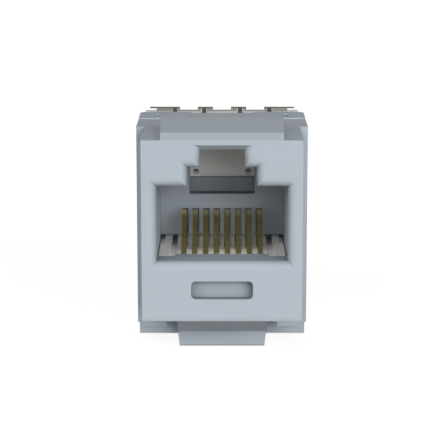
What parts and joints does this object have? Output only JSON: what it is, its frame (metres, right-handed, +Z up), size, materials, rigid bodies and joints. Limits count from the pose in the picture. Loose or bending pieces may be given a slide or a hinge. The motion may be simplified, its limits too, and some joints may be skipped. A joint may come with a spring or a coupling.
{
  "type": "keystone jack",
  "caption": "Snap-in modular socket for a plug: square nose with stepped port, spring contacts, flexing latch underneath, and two rows of wire terminals at the rear.",
  "frame": {"origin": "middle of the nose's front face, in the mouth of the port", "axes": "-Y out of the port towards the plug, +Y back along the jack to the wires, +Z up, with the flexing latch at the bottom, +X to the right seen from the front"},
  "size_m": [0.0162, 0.0285, 0.0231],
  "materials": {
    "housing_plastic": "satin",
    "white_plastic": "satin",
    "board": "satin",
    "strip_steel": "satin",
    "contact_gold": "polished",
    "terminal_tin": "satin"
  },
  "bodies": {
    "root": {"housing": "housing_plastic", "contact_carrier": "white_plastic", "termination_block": "white_plastic", "circuit_board": "board", "wire_clip_top": "strip_steel", "wire_clip_bottom": "strip_steel", "contact_wire_1": "contact_gold", "contact_wire_2": "contact_gold", "contact_wire_3": "contact_gold", "contact_wire_4": "contact_gold", "contact_wire_5": "contact_gold", "contact_wire_6": "contact_gold", "contact_wire_7": "contact_gold", "contact_wire_8": "contact_gold", "idc_terminal_1": "terminal_tin", "idc_terminal_2": "terminal_tin", "idc_terminal_3": "terminal_tin", "idc_terminal_4": "terminal_tin", "idc_terminal_5": "terminal_tin", "idc_terminal_6": "terminal_tin", "idc_terminal_7": "terminal_tin", "idc_terminal_8": "terminal_tin"}
  },
  "joints": []
}
